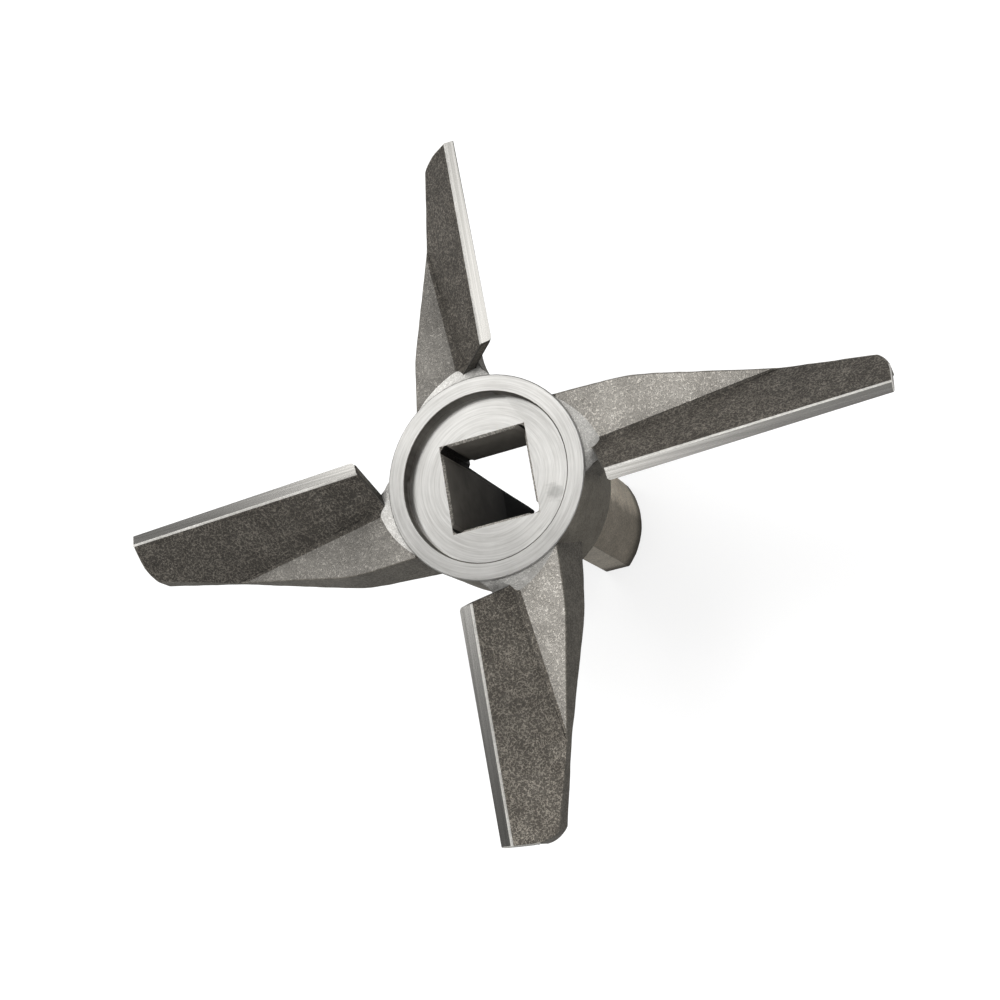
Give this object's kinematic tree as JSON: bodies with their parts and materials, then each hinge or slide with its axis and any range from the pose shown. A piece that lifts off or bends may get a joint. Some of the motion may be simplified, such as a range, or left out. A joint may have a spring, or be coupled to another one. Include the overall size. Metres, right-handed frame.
{
  "type": "meat grinder knife",
  "caption": "Cross-shaped cast cutter with swept arms, ground cutting strips on the front edge, and a long notched hub with a square through drive.",
  "frame": {"origin": "on the turning axis, in the plane of the rear end of the hub sleeve", "axes": "+Z along the turning axis towards the cutting side, X along the two long arms, Y along the two short arms"},
  "size_m": [0.2708, 0.242, 0.1029],
  "materials": {
    "cast_steel": "as-cast stainless steel, grainy warm grey, ground on the cutting strips and turned on the front ring"
  },
  "bodies": {
    "root": {"knife": "cast_steel"}
  },
  "joints": []
}
